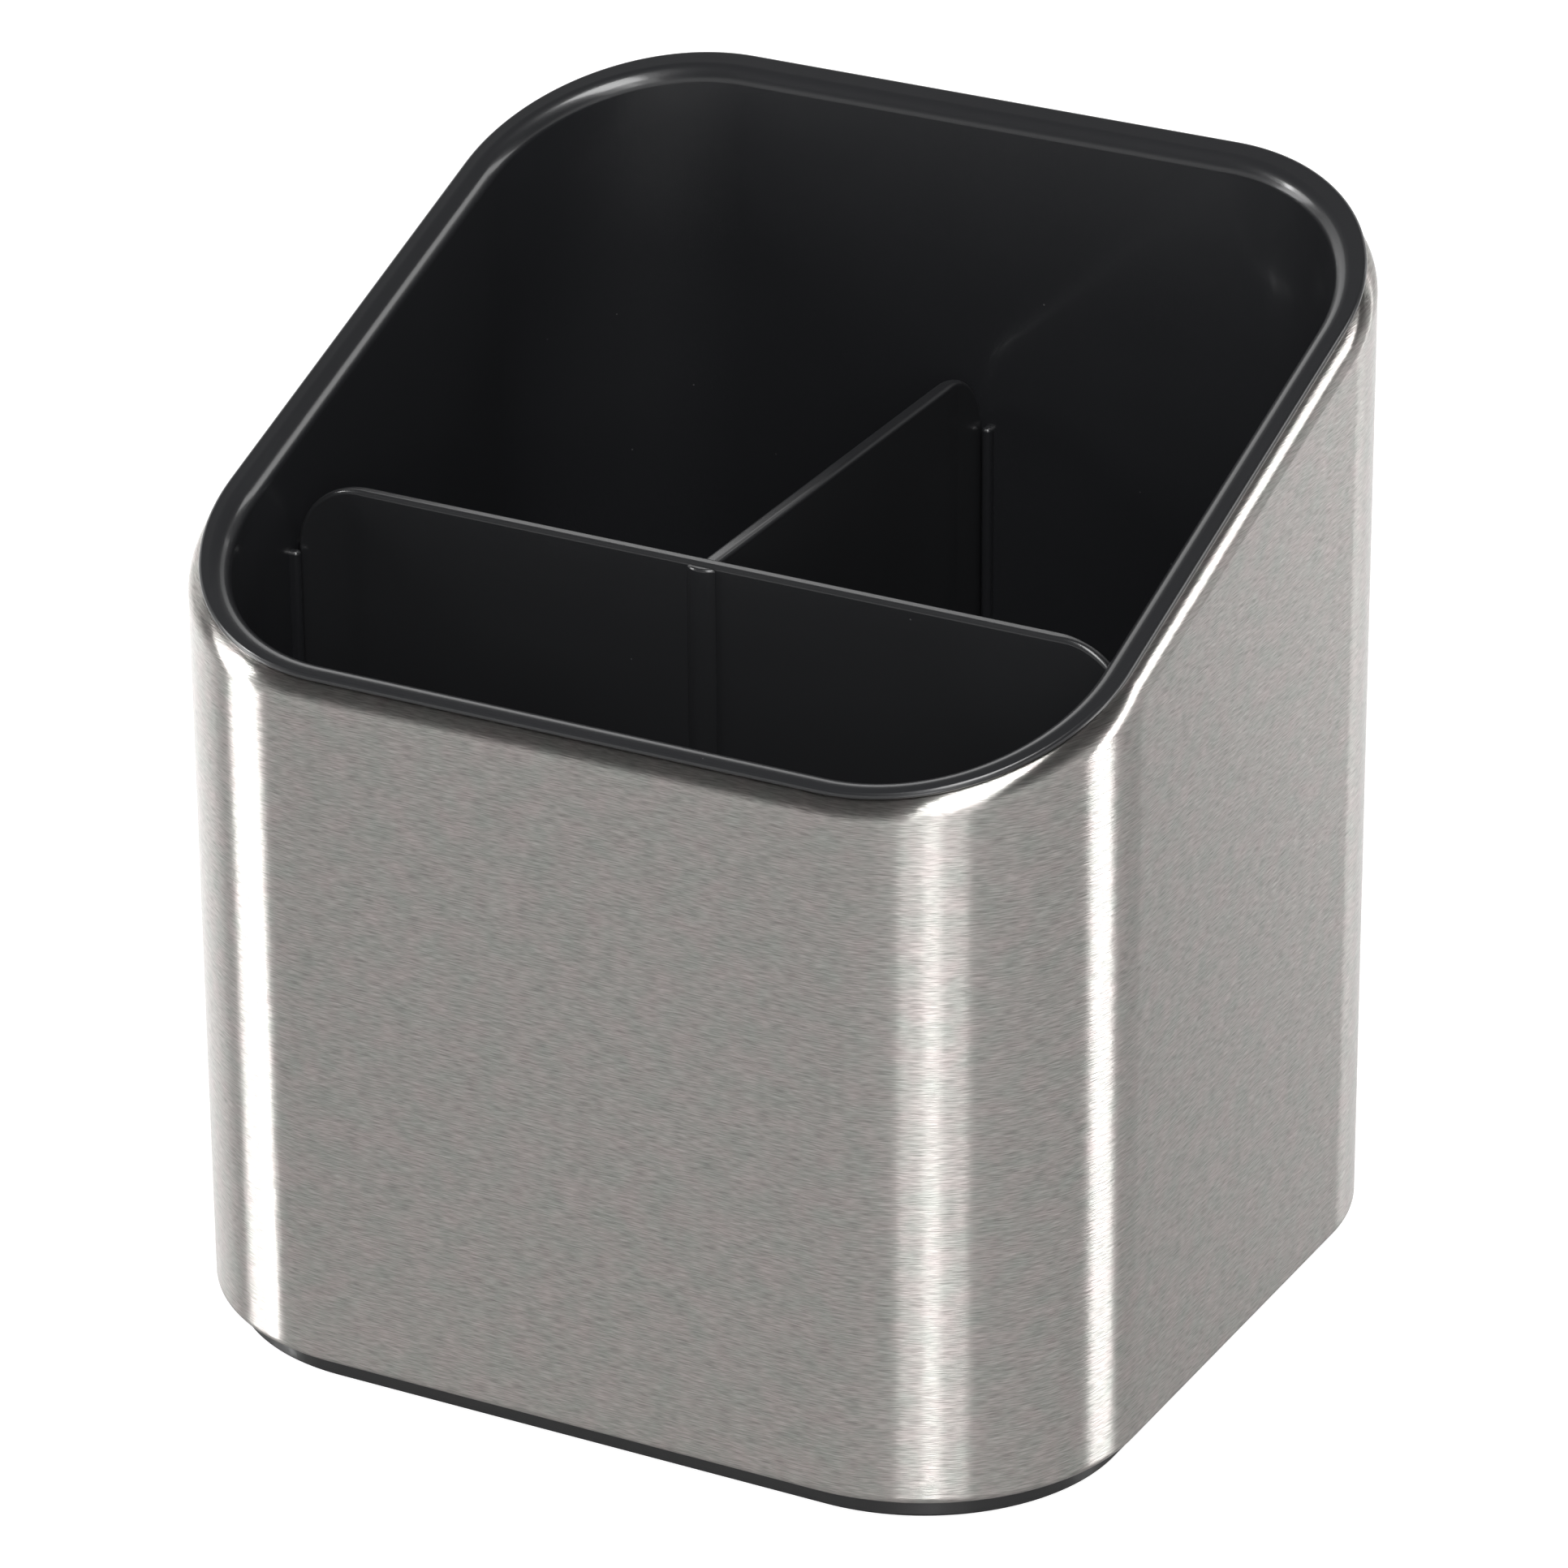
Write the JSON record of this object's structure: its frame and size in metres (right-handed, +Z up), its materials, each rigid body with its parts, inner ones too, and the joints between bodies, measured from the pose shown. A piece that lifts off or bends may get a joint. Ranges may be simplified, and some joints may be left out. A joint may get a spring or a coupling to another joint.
{
  "type": "kitchen sink caddy",
  "caption": "Brushed steel sink caddy with a sloping top, a lift-out black liner, an interlocking T-shaped divider and a drip tray.",
  "frame": {"origin": "centre of the footprint, on the surface that the caddy stands on", "axes": "+Z up, -Y towards the low front, +X to the right seen from the front"},
  "size_m": [0.127, 0.117, 0.1398],
  "materials": {
    "sleeve_steel": "brushed, grain running round the sleeve",
    "liner_plastic": "satin, fine moulded texture",
    "divider_plastic": "satin, fine moulded texture",
    "tray_plastic": "satin",
    "foot_rubber": "matte"
  },
  "bodies": {
    "sleeve": {"outer_sleeve": "sleeve_steel", "base_tray": "tray_plastic", "foot_front_left": "foot_rubber", "foot_front_right": "foot_rubber", "foot_rear_left": "foot_rubber", "foot_rear_right": "foot_rubber"},
    "liner": {"liner": "liner_plastic"},
    "cross_wall": {"cross_wall": "divider_plastic"},
    "rear_partition": {"rear_partition": "divider_plastic"}
  },
  "joints": [
    {"name": "liner_lift", "type": "slide", "parent": "sleeve", "child": "liner", "axis": [0, 0, 1], "range_m": [0, 0.145]},
    {"name": "divider_lift", "type": "slide", "parent": "liner", "child": "rear_partition", "axis": [0, 0, 1], "range_m": [0, 0.13]},
    {"name": "cross_wall_lift", "type": "slide", "parent": "rear_partition", "child": "cross_wall", "axis": [0, 0, 1], "range_m": [0, 0.105]}
  ]
}
